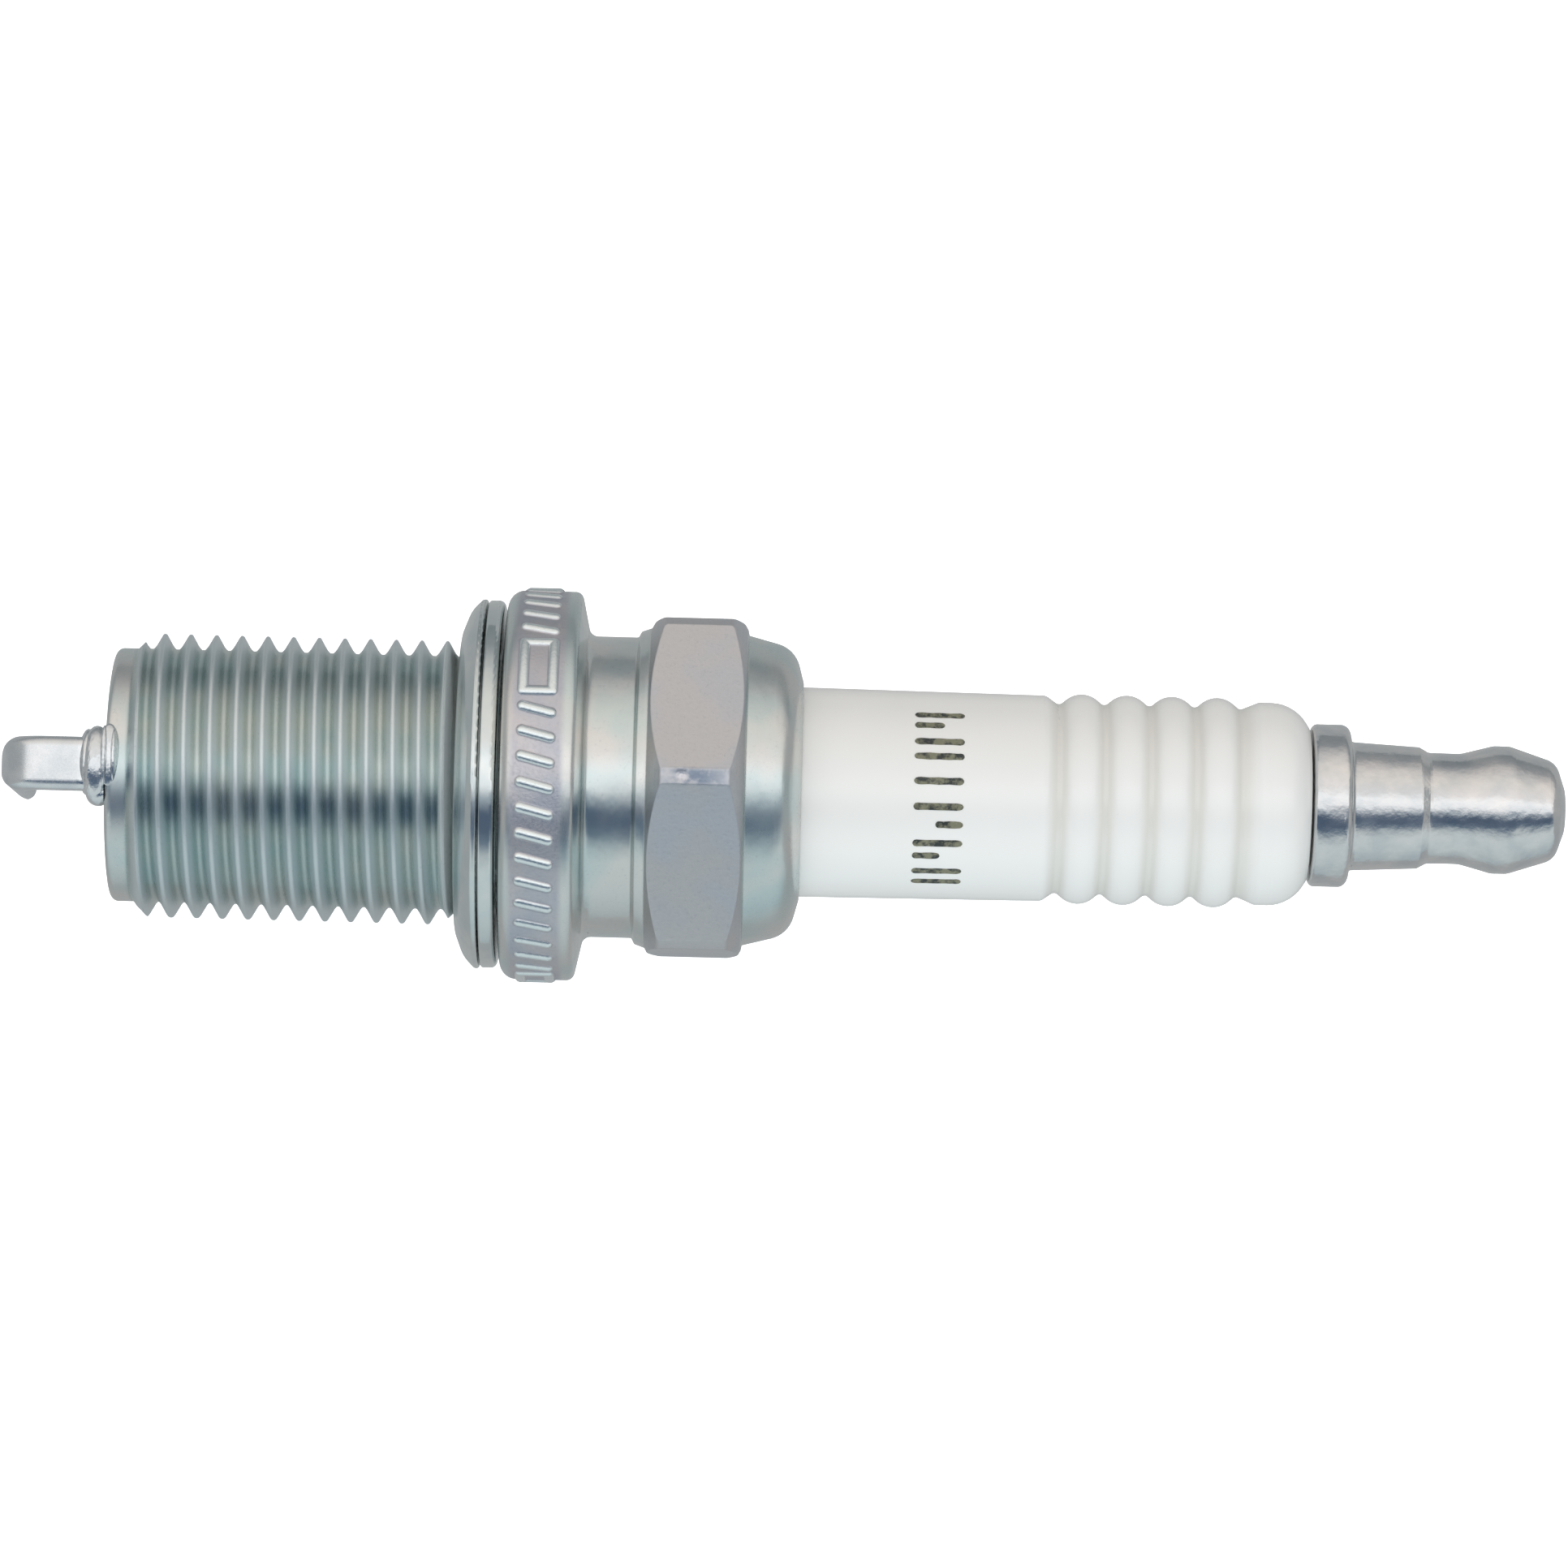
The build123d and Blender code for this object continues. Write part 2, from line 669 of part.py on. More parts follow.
def make_parts():
    return {
        "shell": make_shell(),
        "ground_electrode": make_ground_electrode(),
        "seat_gasket": make_seat_gasket(),
        "insulator": make_insulator(),
        "inner_packing_washer": make_inner_packing_washer(),
        "lower_wire_ring": wire_ring(LOWER_RING_X),
        "powder_seal": make_powder_seal(),
        "upper_wire_ring": wire_ring(UPPER_RING_X),
        "centre_electrode": make_centre_electrode(),
        "centre_electrode_core": make_centre_electrode_core(),
        "lower_glass_seal": make_lower_glass_seal(),
        "resistor": make_resistor(),
        "upper_glass_seal": make_upper_glass_seal(),
        "terminal_stud": make_terminal_stud(),
        "terminal_nut": make_terminal_nut(),
    }


os.makedirs("parts", exist_ok=True)
for name, solid in make_parts().items():
    export_step(solid, f"parts/{name}.step")
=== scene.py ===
"""Looks of the spark plug: procedural metal and glaze, printed marks, weld flash, studio light and camera."""
import json
import math

import bpy
from mathutils import Euler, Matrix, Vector


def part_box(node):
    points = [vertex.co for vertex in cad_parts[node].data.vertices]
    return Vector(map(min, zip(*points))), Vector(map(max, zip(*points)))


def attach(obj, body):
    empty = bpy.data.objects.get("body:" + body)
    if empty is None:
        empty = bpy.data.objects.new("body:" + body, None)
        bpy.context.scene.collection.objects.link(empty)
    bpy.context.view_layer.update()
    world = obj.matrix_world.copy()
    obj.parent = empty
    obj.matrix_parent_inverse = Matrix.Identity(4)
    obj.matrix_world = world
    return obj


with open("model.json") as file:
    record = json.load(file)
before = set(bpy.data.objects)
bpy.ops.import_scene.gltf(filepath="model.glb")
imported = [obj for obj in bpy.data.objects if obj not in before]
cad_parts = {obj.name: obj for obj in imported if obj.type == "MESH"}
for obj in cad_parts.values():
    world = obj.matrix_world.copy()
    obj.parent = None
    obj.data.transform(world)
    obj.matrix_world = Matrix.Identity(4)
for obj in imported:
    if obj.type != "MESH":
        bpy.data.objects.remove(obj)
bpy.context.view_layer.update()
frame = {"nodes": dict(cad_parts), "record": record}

MM = 0.001

# stretches along X, in millimetres: the shell's zones, then those of the gasket, insulator and strap
LAND = (-25.0, -19.0)
THREAD = (-18.0, -0.3)
RUN_OUT = (-2.95, -1.6)
FLANGE_BAND = (0.55, 3.0)
GROOVE = (3.5, 6.9)
HEXAGON = (7.0, 11.68)
RIM = (11.72, 15.0)
GASKET_BACK = (-1.0, -0.1)
RIBS = (26.2, 36.2)
WELD = (-20.25, -17.5)

# radii and places on them, in millimetres
THREAD_ROOT_R = 6.22
THREAD_CREST_R = 6.66
BAND_R = 9.47
RIB_VALLEY_R = 4.66
RIB_SHADE_R = 5.02
WELD_R = 4.6
HEX_CORNER = (9.4, 0.65, 9.0)
HEX_CORNER_REACH = 2.4
HEX_CORNER_Y = 0.62
DENT = (8.72, 0.68, 8.98)
DENT_REACH = 0.42
EDGE_EASE = 0.10 * MM
THREAD_EASE = 0.24 * MM


# ---- shader building ----

class Shader:
    """One Principled material whose patterns are laid out in the part's own millimetres."""

    def __init__(self, name, **constants):
        self.material = bpy.data.materials.new(name)
        self.material.use_nodes = True
        self.tree = self.material.node_tree
        self.bsdf = self.tree.nodes["Principled BSDF"]
        for socket, value in constants.items():
            self.bsdf.inputs[socket.replace("_", " ")].default_value = value
        coordinates = self.tree.nodes.new("ShaderNodeTexCoord").outputs["Object"]
        scaled = self.node("ShaderNodeVectorMath", operation="SCALE")
        self.tree.links.new(coordinates, scaled.inputs[0])
        scaled.inputs["Scale"].default_value = 1000.0
        self.place = scaled.outputs[0]
        split = self.node("ShaderNodeSeparateXYZ")
        self.tree.links.new(self.place, split.inputs[0])
        self.x, self.y, self.z = split.outputs

    def node(self, kind, **settings):
        made = self.tree.nodes.new(kind)
        for key, value in settings.items():
            setattr(made, key, value)
        return made

    def feed(self, socket, value):
        if isinstance(value, bpy.types.NodeSocket):
            self.tree.links.new(value, socket)
        else:
            socket.default_value = value

    def math(self, operation, a, b=0.0, clamp=False):
        made = self.node("ShaderNodeMath", operation=operation, use_clamp=clamp)
        self.feed(made.inputs[0], a)
        self.feed(made.inputs[1], b)
        return made.outputs[0]

    def noise(self, size, detail=3.0, rough=0.55, stretch=(1.0, 1.0, 1.0), offset=0.0):
        """Noise with features about size millimetres across, drawn out along an axis by stretch."""
        mapping = self.node("ShaderNodeMapping")
        self.tree.links.new(self.place, mapping.inputs["Vector"])
        mapping.inputs["Location"].default_value = (offset, offset * 0.7, -offset)
        mapping.inputs["Scale"].default_value = [1.0 / (size * s) for s in stretch]
        made = self.node("ShaderNodeTexNoise")
        self.tree.links.new(mapping.outputs[0], made.inputs["Vector"])
        made.inputs["Scale"].default_value = 1.0
        made.inputs["Detail"].default_value = detail
        made.inputs["Roughness"].default_value = rough
        return made.outputs["Fac"]

    def remap(self, value, low, high, to_low, to_high, smooth=False):
        made = self.node("ShaderNodeMapRange")
        made.interpolation_type = "SMOOTHSTEP" if smooth else "LINEAR"
        for index, given in enumerate((value, low, high, to_low, to_high)):
            self.feed(made.inputs[index], given)
        return made.outputs[0]

    def spread(self, value, to_low, to_high, margin=0.2):
        """Noise around one half, stretched evenly between two values."""
        return self.remap(value, 0.5 - margin, 0.5 + margin, to_low, to_high)

    def band(self, start, end, soft=0.12):
        """1 between two x positions in millimetres, 0 outside."""
        rising = self.remap(self.x, start - soft, start + soft, 0.0, 1.0, smooth=True)
        falling = self.remap(self.x, end - soft, end + soft, 1.0, 0.0, smooth=True)
        return self.math("MULTIPLY", rising, falling)

    def mix(self, factor, a, b):
        made = self.node("ShaderNodeMix", data_type="RGBA")
        self.feed(made.inputs["Factor"], factor)
        for socket, value in zip(made.inputs[6:8], (a, b)):
            self.feed(socket, value if isinstance(value, bpy.types.NodeSocket) else (*value, 1.0))
        return made.outputs[2]

    def tones(self, value, low, high, a, b):
        """Colour a where the noise is below low, b where it is above high."""
        return self.mix(self.remap(value, low, high, 0.0, 1.0), a, b)

    def blend(self, factor, a, b):
        made = self.node("ShaderNodeMix", data_type="FLOAT")
        for index, given in ((0, factor), (2, a), (3, b)):
            self.feed(made.inputs[index], given)
        return made.outputs[0]

    def colour(self, value):
        self.feed(self.bsdf.inputs["Base Color"], value)

    def roughness(self, value):
        self.feed(self.bsdf.inputs["Roughness"], value)

    def radius(self):
        """Distance from the plug's axis in millimetres."""
        squares = [self.math("POWER", side, 2.0) for side in (self.y, self.z)]
        return self.math("SQRT", self.math("ADD", *squares))

    def near(self, centre, reach):
        """1 at a point in millimetres, falling smoothly to 0 at a distance of reach."""
        distance = self.node("ShaderNodeVectorMath", operation="DISTANCE")
        self.tree.links.new(self.place, distance.inputs[0])
        distance.inputs[1].default_value = centre
        return self.remap(distance.outputs["Value"], 0.0, reach, 1.0, 0.0, smooth=True)

    def bump(self, *layers, edge=None):
        """Stacks (height, depth in millimetres) layers into the normal, over edges eased by edge metres."""
        normal = None
        if edge:
            eased = self.node("ShaderNodeBevel", samples=4)
            self.feed(eased.inputs["Radius"], edge)
            normal = eased.outputs[0]
        for height, depth in layers:
            made = self.node("ShaderNodeBump")
            made.inputs["Strength"].default_value = 1.0
            made.inputs["Distance"].default_value = depth * MM
            self.feed(made.inputs["Height"], height)
            if normal:
                self.tree.links.new(normal, made.inputs["Normal"])
            normal = made.outputs[0]
        self.tree.links.new(normal, self.bsdf.inputs["Normal"])


# ---- materials ----

def zinc_shell():
    """Blue-passivated zinc: satin thread with its crests painted lighter as a painted highlight, matt struck
    flange band with its raised marks painted lighter as a painted highlight, bright groove and rim, grained
    flats, and a hexagon corner with a painted dark reflection and a dent with a painted highlight.
    """
    s = Shader("zinc_plated_steel", Metallic=1.0)
    broad = s.noise(2.2, 3.0, offset=3.0)
    hue = s.noise(3.4, 2.0, offset=11.0)
    fine = s.noise(0.16, 4.0, 0.6)
    turned = s.noise(0.07, 2.0, 0.5, stretch=(1.0, 60.0, 60.0))
    ripple = s.noise(0.9, 2.0, 0.5, stretch=(1.0, 1.8, 1.8), offset=6.0)

    land = s.band(*LAND)
    thread = s.band(*THREAD)
    run_out = s.band(*RUN_OUT, 0.05)
    band = s.band(*FLANGE_BAND, 0.2)
    groove = s.band(*GROOVE)
    hexagon = s.band(*HEXAGON, 0.04)
    rim = s.band(*RIM, 0.04)
    radius = s.radius()
    crest_height = s.remap(radius, THREAD_ROOT_R, THREAD_CREST_R, 0.0, 1.0, smooth=True)
    crest = s.math("MULTIPLY", thread, crest_height)
    struck = s.math("MULTIPLY", band, s.remap(radius, BAND_R + 0.02, BAND_R + 0.08, 0.0, 1.0))

    tint = s.tones(hue, 0.38, 0.62, (0.585, 0.665, 0.665), (0.70, 0.695, 0.675))
    tint = s.mix(thread, tint, s.tones(hue, 0.4, 0.62, (0.45, 0.55, 0.55), (0.53, 0.58, 0.56)))
    # painted highlight: the thread crests are painted lighter and bluer than the flanks and roots
    tint = s.mix(s.math("MULTIPLY", crest, 0.8), tint, (0.73, 0.79, 0.81))
    tint = s.mix(land, tint, s.tones(hue, 0.4, 0.62, (0.50, 0.57, 0.57), (0.59, 0.60, 0.58)))
    tint = s.mix(band, tint, s.tones(broad, 0.35, 0.65, (0.50, 0.52, 0.58), (0.60, 0.58, 0.60)))
    tint = s.mix(hexagon, tint, s.tones(hue, 0.4, 0.6, (0.585, 0.60, 0.635), (0.62, 0.61, 0.615)))
    # painted highlight: the raised struck marks are painted lighter than the band; their smoother roughness
    # below is real
    tint = s.mix(s.math("MULTIPLY", struck, 0.9), tint, (0.80, 0.86, 0.86))
    tint = s.mix(s.remap(fine, 0.58, 0.76, 0.0, 0.3), tint, (0.38, 0.41, 0.44))

    # corner of the hexagon: a patchy painted dark reflection along it, and a real dent whose middle is
    # painted lighter as a painted highlight
    off_corner = s.math("ABSOLUTE", s.math("SUBTRACT", s.y, HEX_CORNER_Y))
    on_corner = s.remap(off_corner, 0.25, 0.5, 1.0, 0.0)
    corner = s.math("MULTIPLY", s.near(HEX_CORNER, HEX_CORNER_REACH), on_corner)
    corner_reflection_patches = s.noise(0.55, 3.0, 0.6, offset=2.0)
    corner_dark_reflection = s.math("MULTIPLY", corner, s.remap(corner_reflection_patches, 0.36, 0.54, 0.25, 0.85))
    # painted dark reflection: patchy navy darkening laid along the hexagon corner
    tint = s.mix(corner_dark_reflection, tint, (0.19, 0.25, 0.34))
    dent = s.near(DENT, DENT_REACH)
    # painted highlight: the dent's middle is painted lighter; the pit bump below is the real dent
    tint = s.mix(s.math("MULTIPLY", dent, 0.8), tint, (0.80, 0.79, 0.84))
    s.colour(tint)
    s.feed(s.bsdf.inputs["Metallic"], s.blend(run_out, 1.0, 0.4))

    rough = s.spread(broad, 0.24, 0.32)
    rough = s.blend(thread, rough, s.spread(broad, 0.19, 0.27))
    rough = s.blend(crest, rough, 0.36)
    rough = s.blend(band, rough, s.spread(fine, 0.36, 0.48, margin=0.15))
    rough = s.blend(struck, rough, 0.20)
    rough = s.blend(groove, rough, s.spread(broad, 0.15, 0.26))
    rough = s.blend(hexagon, rough, s.spread(fine, 0.36, 0.48, margin=0.15))
    rough = s.blend(rim, rough, s.spread(broad, 0.22, 0.31))
    s.roughness(rough)

    grained = s.math("ADD", hexagon, s.math("MULTIPLY", band, 1.4))
    grain = s.math("MULTIPLY", fine, grained)
    rippled = s.math("ADD", s.math("ADD", groove, rim), s.math("MULTIPLY", thread, 0.5))
    waves = s.math("MULTIPLY", ripple, rippled)
    pit = s.math("MULTIPLY", dent, s.spread(s.noise(0.25, 3.0, 0.6, offset=5.0), -0.6, -1.0))
    s.bump((grain, 0.009), (turned, 0.0015), (waves, 0.022), (broad, 0.008), (pit, 0.10),
           edge=s.blend(thread, EDGE_EASE, THREAD_EASE))
    return s.material


def bright_zinc():
    """Rolled and folded gasket, brightest on its band next to the flange."""
    s = Shader("bright_zinc_steel", Metallic=1.0)
    broad = s.noise(1.8, 3.0, offset=9.0)
    fine = s.noise(0.12, 3.0)
    rolled = s.noise(0.06, 2.0, stretch=(1.0, 50.0, 50.0))
    waves = s.noise(0.8, 2.0, stretch=(1.0, 2.5, 2.5), offset=1.0)
    s.colour(s.tones(broad, 0.35, 0.65, (0.60, 0.665, 0.675), (0.70, 0.725, 0.715)))
    s.roughness(s.blend(s.band(*GASKET_BACK, 0.05), s.spread(fine, 0.19, 0.24), 0.11))
    s.bump((rolled, 0.0004), (waves, 0.010), (broad, 0.006))
    return s.material


def glazed_alumina():
    """Clean white body under a clear glaze, with a few pinholes, a faint waviness, and painted shade
    darkening the rib valleys.
    """
    s = Shader("glazed_alumina", IOR=1.55, Coat_Weight=0.35, Coat_Roughness=0.08)
    cloud = s.noise(6.0, 2.0, offset=5.0)
    speck = s.noise(0.10, 2.0, 0.5, offset=1.0)
    waves = s.noise(2.2, 2.0, 0.4, offset=8.0)
    tone = s.tones(cloud, 0.35, 0.65, (0.925, 0.925, 0.90), (0.94, 0.94, 0.92))
    # painted shade: the rib valleys are painted darker and warmer towards their bottoms
    depth = s.remap(s.radius(), RIB_VALLEY_R, RIB_SHADE_R, 0.9, 0.0, smooth=True)
    valley = s.math("MULTIPLY", s.band(*RIBS, 0.5), depth)
    tone = s.mix(valley, tone, (0.80, 0.79, 0.74))
    tone = s.mix(s.remap(speck, 0.77, 0.82, 0.0, 0.35), tone, (0.50, 0.47, 0.40))
    s.colour(tone)
    s.roughness(s.spread(waves, 0.20, 0.27))
    s.bump((waves, 0.010), (speck, 0.0006))
    return s.material


def nickel_alloy():
    """Satin drawn strap and electrode; the weld's flash round the strap's foot is smooth and rippled."""
    s = Shader("nickel_alloy", Metallic=1.0)
    broad = s.noise(1.2, 3.0, offset=2.0)
    drawn = s.noise(0.05, 3.0, stretch=(40.0, 1.0, 1.0))
    fine = s.noise(0.08, 3.0)
    flow = s.noise(0.45, 3.0, 0.5, stretch=(0.6, 1.4, 1.4), offset=3.0)
    weld = s.math("MULTIPLY", s.band(*WELD), s.remap(s.radius(), WELD_R, WELD_R + 0.2, 0.0, 1.0))
    s.colour(s.tones(broad, 0.35, 0.65, (0.64, 0.67, 0.69), (0.76, 0.765, 0.77)))
    s.roughness(s.blend(weld, s.spread(fine, 0.22, 0.34), s.spread(flow, 0.10, 0.20)))
    s.bump((drawn, 0.0020), (fine, 0.0016), (s.math("MULTIPLY", flow, weld), 0.05))
    return s.material


def nickel_plated():
    """Barrel-plated terminal: bright, with soft dents from tumbling."""
    s = Shader("nickel_plated_terminal", Metallic=1.0)
    broad = s.noise(1.4, 3.0, offset=7.0)
    dents = s.noise(0.75, 3.0, 0.5, offset=4.0)
    fine = s.noise(0.06, 3.0)
    s.colour(s.tones(broad, 0.35, 0.65, (0.62, 0.64, 0.655), (0.76, 0.745, 0.735)))
    s.roughness(s.spread(broad, 0.11, 0.22))
    s.bump((dents, 0.034), (fine, 0.0012))
    return s.material


def plain_piece(name, low, high, metallic, rough, grain=0.15):
    """Material of an inner piece: two tones in a grain of its own, and a fine bump."""
    s = Shader(name, Metallic=metallic)
    cloud = s.noise(grain * 6.0, 3.0)
    fine = s.noise(grain, 4.0, 0.6)
    s.colour(s.tones(cloud, 0.35, 0.65, low, high))
    s.roughness(s.spread(fine, rough - 0.06, rough + 0.06))
    s.bump((fine, 0.006))
    return s.material


def ink():
    """Dark ink, pooled and worn in places."""
    s = Shader("marking_ink", IOR=1.45)
    pooled = s.noise(0.42, 3.0, 0.6, offset=2.0)
    wear = s.noise(0.10, 4.0, 0.65)
    tone = s.tones(pooled, 0.42, 0.58, (0.030, 0.038, 0.036), (0.215, 0.215, 0.145))
    s.colour(s.mix(s.remap(wear, 0.55, 0.75, 0.0, 0.5), tone, (0.42, 0.42, 0.36)))
    s.roughness(s.spread(wear, 0.30, 0.5))
    s.bump((wear, 0.002))
    return s.material


# material slot of each inner piece: (darker tone, lighter tone, metallic, roughness)
PLAIN_PIECES = {
    "plain_steel": ((0.42, 0.42, 0.42), (0.55, 0.54, 0.53), 1.0, 0.34),
    "copper": ((0.72, 0.36, 0.22), (0.85, 0.48, 0.32), 1.0, 0.30),
    "talc": ((0.70, 0.69, 0.65), (0.82, 0.81, 0.78), 0.0, 0.85),
    "conductive_glass": ((0.05, 0.05, 0.06), (0.13, 0.12, 0.12), 0.0, 0.30),
    "resistor_compound": ((0.03, 0.03, 0.03), (0.07, 0.07, 0.075), 0.0, 0.60),
}


def paint_nodes():
    finishes = {
        "zinc_plated_steel": zinc_shell(),
        "bright_zinc_steel": bright_zinc(),
        "glazed_alumina": glazed_alumina(),
        "nickel_alloy": nickel_alloy(),
        "nickel_plated_terminal": nickel_plated(),
    }
    for slot, look in PLAIN_PIECES.items():
        finishes[slot] = plain_piece(slot, *look)
    for part in frame["record"]["subparts"]:
        node = frame["nodes"][part["node"]]
        node.data.materials.clear()
        node.data.materials.append(finishes[part["material_slot"]])
        for polygon in node.data.polygons:
            polygon.use_smooth = True


# ---- printed marks on the insulator ----

PRINT_PROUD = 0.012
PRINT_SUNK = 0.010
PRINT_LINE = 0.34
PRINT_CENTRE_X = 21.05
PRINT_HALF = 1.2
PRINT_STATIONS = [0.0, 0.03, 0.08, 0.14, 0.3, 0.5, 0.7, 0.86, 0.92, 0.97, 1.0]
PRINT_SIDES = (-1.0, -0.5, 0.0, 0.5, 1.0)
NECK_START_X, NECK_START_R = 14.48, 5.11
NECK_END_X, NECK_END_R = 26.25, 5.015
# strokes of each plain mark: x in half lengths and degrees round the insulator, of one end and of the other
PRINT_STROKES = [
    ((-1.0, 50.0, 1.0, 50.0), (-1.0, 42.0, 0.2, 42.0)),
    ((-1.0, 31.0, 1.0, 31.0), (-1.0, 22.0, 1.0, 22.0)),
    ((-1.0, 8.0, 1.0, 8.0),),
    ((-1.0, -6.0, 1.0, -6.0), (-0.1, -16.0, 1.0, -16.0)),
    ((-1.0, -27.0, 1.0, -27.0), (-1.0, -35.0, 0.1, -35.0)),
    ((-1.0, -46.0, 1.0, -46.0), (-1.0, -55.0, 1.0, -55.0)),
]


def insulator_radius(x):
    """The insulator's neck tapers evenly between the crimped rim and the first valley."""
    along = (x - NECK_START_X) / (NECK_END_X - NECK_START_X)
    return NECK_START_R + (NECK_END_R - NECK_START_R) * along


def stroke_rows(start, end, wave):
    """Rows of points across a round-ended stroke, from start to end on the unrolled insulator."""
    along = (end - start).normalized()
    across = Vector((-along.y, along.x))
    half = PRINT_LINE / 2
    length = (end - start).length
    rows = []
    for station in PRINT_STATIONS:
        reach = station * length
        to_end = min(reach, length - reach)
        width = half if to_end >= half else max(0.25 * half, math.sqrt(half * half - (half - to_end) ** 2))
        wobble = 1.0 + 0.08 * math.sin(7.0 * reach + wave)
        rows.append([start + along * reach + across * width * wobble * side for side in PRINT_SIDES])
    return rows


def film_faces(rows, columns):
    """Faces of a closed film: its top layer, the same layer turned over below it, and the wall round both."""
    layer = rows * columns
    faces = []
    for row in range(rows - 1):
        for column in range(columns - 1):
            corner = row * columns + column
            quad = (corner, corner + columns, corner + columns + 1, corner + 1)
            faces.append(quad)
            faces.append(tuple(layer + index for index in reversed(quad)))
    rim = list(range(columns))
    rim += [row * columns + columns - 1 for row in range(1, rows)]
    rim += [(rows - 1) * columns + column for column in range(columns - 2, -1, -1)]
    rim += [row * columns for row in range(rows - 2, 0, -1)]
    for index, here in enumerate(rim):
        beyond = rim[(index + 1) % len(rim)]
        faces.append((here, beyond, layer + beyond, layer + here))
    return faces


def printed_stroke(name, x_start, turn_start, x_end, turn_end, material):
    """Round-ended film of ink lying on the insulator's curved neck."""
    radius = insulator_radius(PRINT_CENTRE_X)
    start = Vector((PRINT_CENTRE_X + x_start * PRINT_HALF, math.radians(turn_start) * radius))
    end = Vector((PRINT_CENTRE_X + x_end * PRINT_HALF, math.radians(turn_end) * radius))
    rows = stroke_rows(start, end, 3.0 * turn_start)
    vertices = []
    for height in (PRINT_PROUD, -PRINT_SUNK):
        for row in rows:
            for x, arc in row:
                r = insulator_radius(x) + height
                turn = arc / radius
                vertices.append((x * MM, r * math.sin(turn) * MM, r * math.cos(turn) * MM))
    mesh = bpy.data.meshes.new(name)
    mesh.from_pydata(vertices, [], film_faces(len(rows), len(PRINT_SIDES)))
    mesh.materials.append(material)
    stroke = bpy.data.objects.new(name, mesh)
    bpy.context.scene.collection.objects.link(stroke)
    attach(stroke, "plug")


def print_marks():
    material = ink()
    for number, strokes in enumerate(PRINT_STROKES):
        for part, stroke in enumerate(strokes):
            printed_stroke(f"printed_mark_{number}_{part}", *stroke, material)


# ---- stage, light and camera ----

FLANGE_R = max(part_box("shell")[1].z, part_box("shell")[1].y)
FLOOR_HALF = 2.0
FLOOR_WHITE = (0.93, 0.93, 0.93)
FLOOR_GLOW = 1.0
CAMERA_X = 13.6 * MM
CAMERA_Y = 0.37 * MM
CAMERA_HEIGHT = 0.365
FIELD = 76.4 * MM
ROLL = 1.48
SENSOR = 36.0


def stage_material(name, colour, glow):
    """Matt cloth or paper that glows a little, so that it stays pale."""
    s = Shader(name, Roughness=0.9)
    cloud = s.noise(60.0, 2.0)
    s.colour(s.mix(s.remap(cloud, 0.3, 0.7, 0.0, 1.0), [c * 0.985 for c in colour], colour))
    s.bsdf.inputs["Emission Color"].default_value = (*colour, 1.0)
    s.bsdf.inputs["Emission Strength"].default_value = glow
    return s.material


def link_stage(name, vertices, faces, material):
    mesh = bpy.data.meshes.new(name)
    mesh.from_pydata(vertices, [], faces)
    mesh.materials.append(material)
    made = bpy.data.objects.new(name, mesh)
    bpy.context.scene.collection.objects.link(made)
    return made


def make_floor():
    half = FLOOR_HALF
    corners = [(-half, -half, 0), (half, -half, 0), (half, half, 0), (-half, half, 0)]
    paper = stage_material("floor_white", FLOOR_WHITE, FLOOR_GLOW)
    floor = link_stage("floor", corners, [(0, 1, 2, 3)], paper)
    floor.location = (0, 0, -FLANGE_R)
    floor.visible_glossy = False
    floor.visible_diffuse = False


WORLD_COLOUR = (0.95, 0.985, 1.0, 1.0)
WORLD_LEVEL = 0.46
# white cloth tent over the plug: (degrees from overhead towards +Y, colour, brightness)
TENT = [
    (-118, (0.82, 0.95, 1.00), 0.58),
    (-88, (0.86, 0.97, 1.00), 0.73),
    (-58, (0.89, 0.98, 1.00), 0.78),
    (-46, (0.86, 0.96, 1.00), 0.62),
    (-37, (0.55, 0.75, 1.00), 0.29),
    (-30, (0.46, 0.67, 1.00), 0.21),
    (-18, (0.45, 0.65, 1.00), 0.20),
    (-9, (0.80, 0.90, 1.00), 0.55),
    (-1, (0.96, 0.98, 1.00), 1.14),
    (14, (1.00, 1.00, 1.00), 1.30),
    (27, (1.00, 0.97, 0.95), 1.02),
    (55, (1.00, 0.95, 0.89), 0.94),
    (76, (1.00, 0.96, 0.93), 0.72),
    (97, (0.93, 0.97, 1.00), 0.36),
    (118, (0.85, 0.96, 1.00), 0.28),
]
TENT_R = 0.6
TENT_HALF_LENGTH = 1.0
TENT_STEPS = 48
TENT_PEAK = 1.5


def tent_material():
    """Glow that changes with the angle round the plug's axis, by the stops of TENT."""
    s = Shader("tent_cloth", Roughness=0.9)
    first, last = TENT[0][0], TENT[-1][0]
    turn = s.math("ARCTAN2", s.y, s.z)
    ramp = s.node("ShaderNodeValToRGB")
    s.feed(ramp.inputs[0], s.remap(turn, math.radians(first), math.radians(last), 0.0, 1.0))
    stops = ramp.color_ramp.elements
    while len(stops) < len(TENT):
        stops.new(0.5)
    for stop, (angle, colour, level) in zip(stops, TENT):
        stop.position = (angle - first) / (last - first)
        stop.color = [c * level / TENT_PEAK for c in colour] + [1.0]
    s.colour((0.0, 0.0, 0.0, 1.0))
    s.feed(s.bsdf.inputs["Emission Color"], ramp.outputs[0])
    s.bsdf.inputs["Emission Strength"].default_value = TENT_PEAK
    return s.material


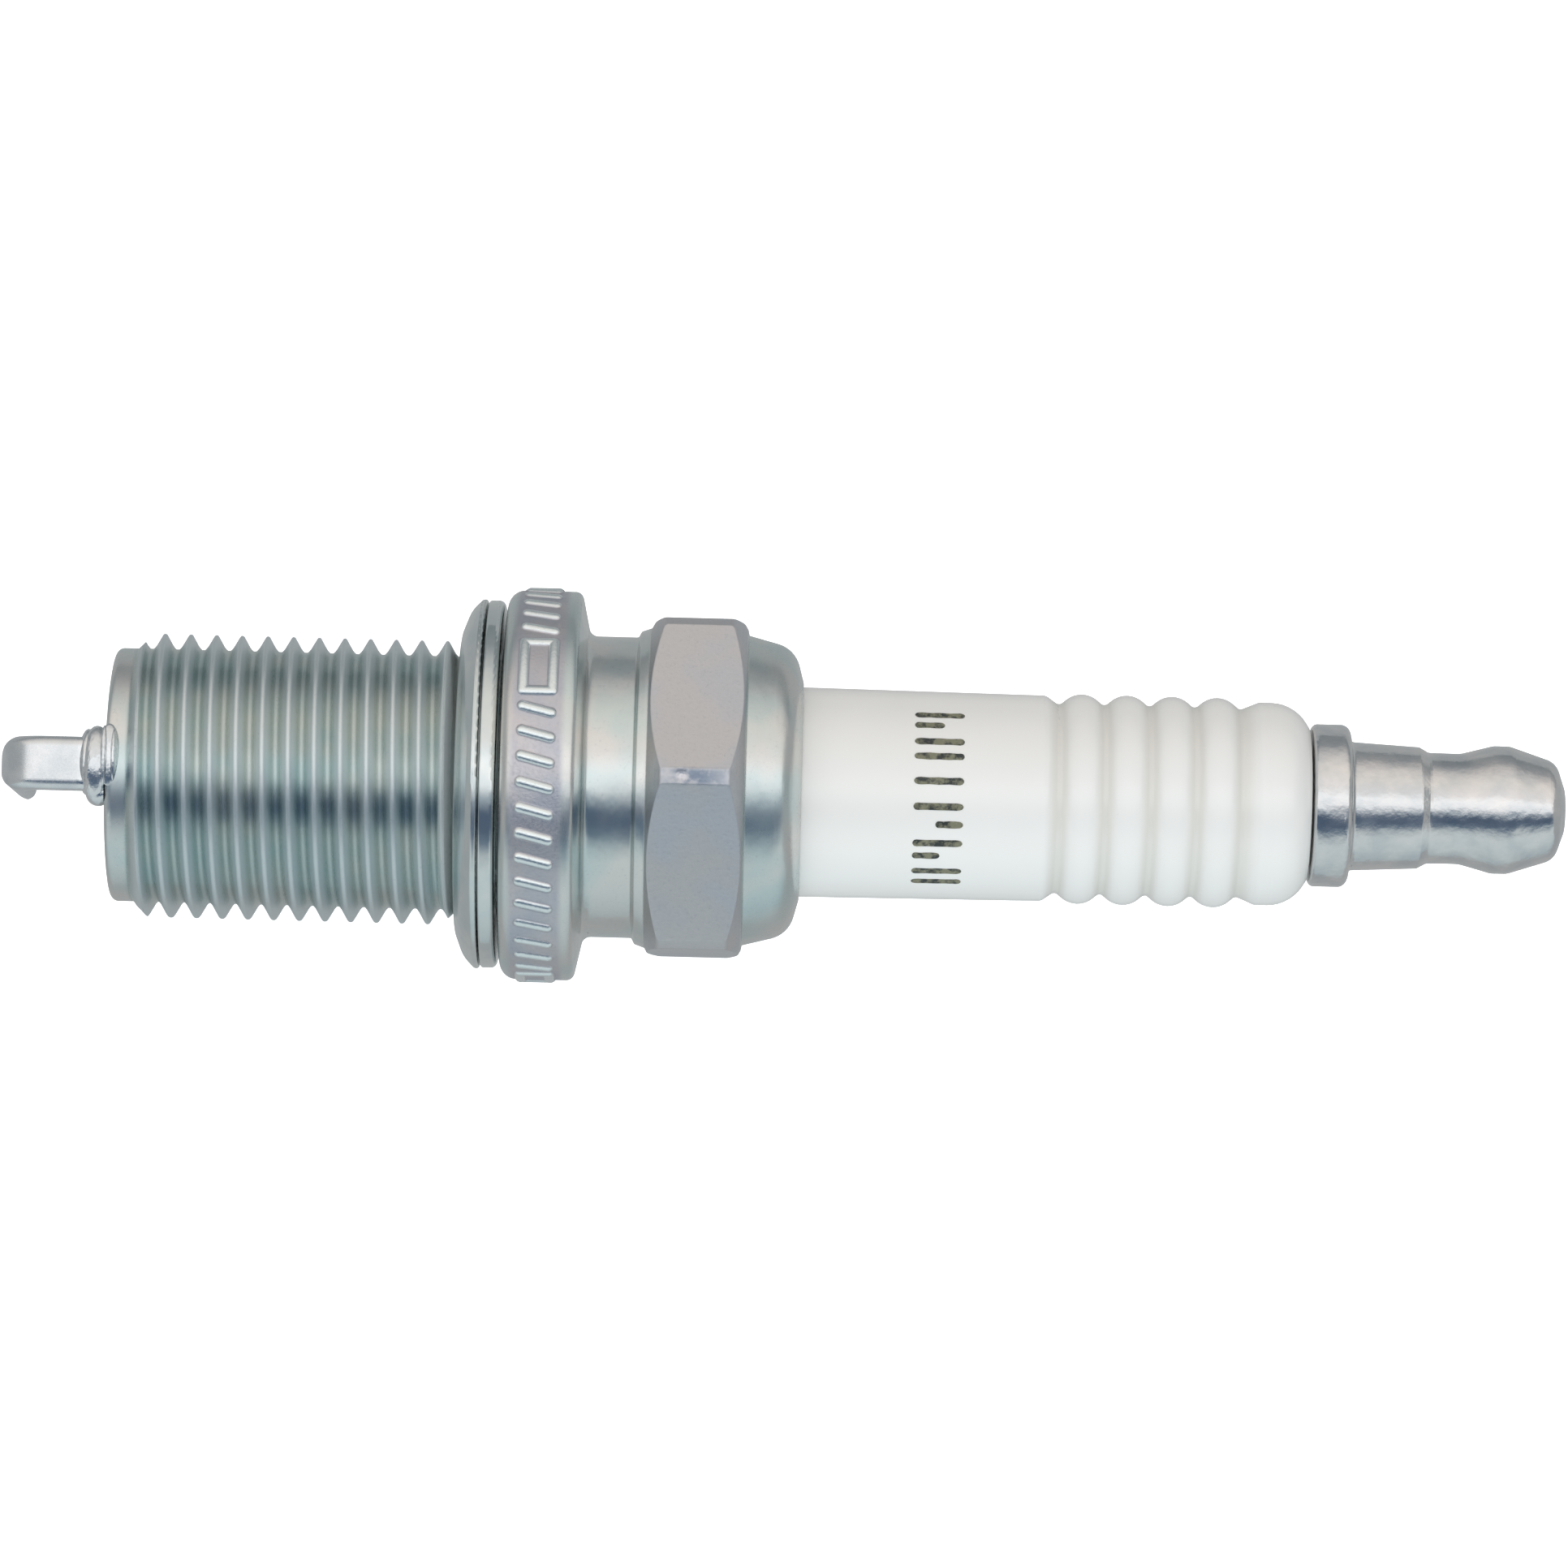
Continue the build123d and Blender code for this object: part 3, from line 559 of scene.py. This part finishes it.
def make_tent():
    vertices = []
    for index in range(TENT_STEPS + 1):
        turn = math.radians(TENT[0][0] + (TENT[-1][0] - TENT[0][0]) * index / TENT_STEPS)
        y, z = TENT_R * math.sin(turn), TENT_R * math.cos(turn)
        vertices += [(-TENT_HALF_LENGTH, y, z), (TENT_HALF_LENGTH, y, z)]
    faces = [(2 * i, 2 * i + 1, 2 * i + 3, 2 * i + 2) for i in range(TENT_STEPS)]
    tent = link_stage("tent", vertices, faces, tent_material())
    tent.location = (CAMERA_X, 0, 0)
    tent.visible_camera = False
    tent.visible_shadow = False


def soft_box(name, angle, distance, across, along, radiance, tint):
    """Rectangular area light round the plug's axis: angle 0 is above, positive towards +Y."""
    light = bpy.data.lights.new(name, "AREA")
    light.shape = "RECTANGLE"
    light.size = along
    light.size_y = across
    light.energy = radiance * math.pi * across * along
    light.color = tint
    lamp = bpy.data.objects.new(name, light)
    bpy.context.scene.collection.objects.link(lamp)
    turn = math.radians(angle)
    lamp.location = (CAMERA_X, distance * math.sin(turn), distance * math.cos(turn))
    lamp.rotation_euler = Euler((-turn, 0, 0))
    lamp.visible_camera = False
    lamp.visible_glossy = False


def make_light():
    """Pale surroundings, the tent, and a soft box on the -Y side that lights the matt pieces alone."""
    world = bpy.data.worlds.new("studio")
    bpy.context.scene.world = world
    world.use_nodes = True
    background = world.node_tree.nodes["Background"]
    background.inputs["Color"].default_value = WORLD_COLOUR
    background.inputs["Strength"].default_value = WORLD_LEVEL
    make_tent()
    soft_box("side", angle=-52, distance=0.5, across=0.45, along=0.8, radiance=0.90, tint=(1.0, 0.99, 0.96))


def make_camera():
    """Looks straight down on the plug, turned a little, and sees a width of FIELD at its axis."""
    camera = bpy.data.cameras.new("camera")
    camera.sensor_width = SENSOR
    camera.lens = SENSOR * CAMERA_HEIGHT / FIELD
    camera.clip_start = 0.01
    camera.clip_end = 20.0
    seat = bpy.data.objects.new("camera", camera)
    bpy.context.scene.collection.objects.link(seat)
    seat.location = (CAMERA_X, CAMERA_Y, CAMERA_HEIGHT)
    seat.rotation_euler = (0, 0, math.radians(ROLL))
    bpy.context.scene.camera = seat


make_camera()
make_light()
make_floor()
paint_nodes()
print_marks()
bpy.context.scene.view_settings.view_transform = "Standard"
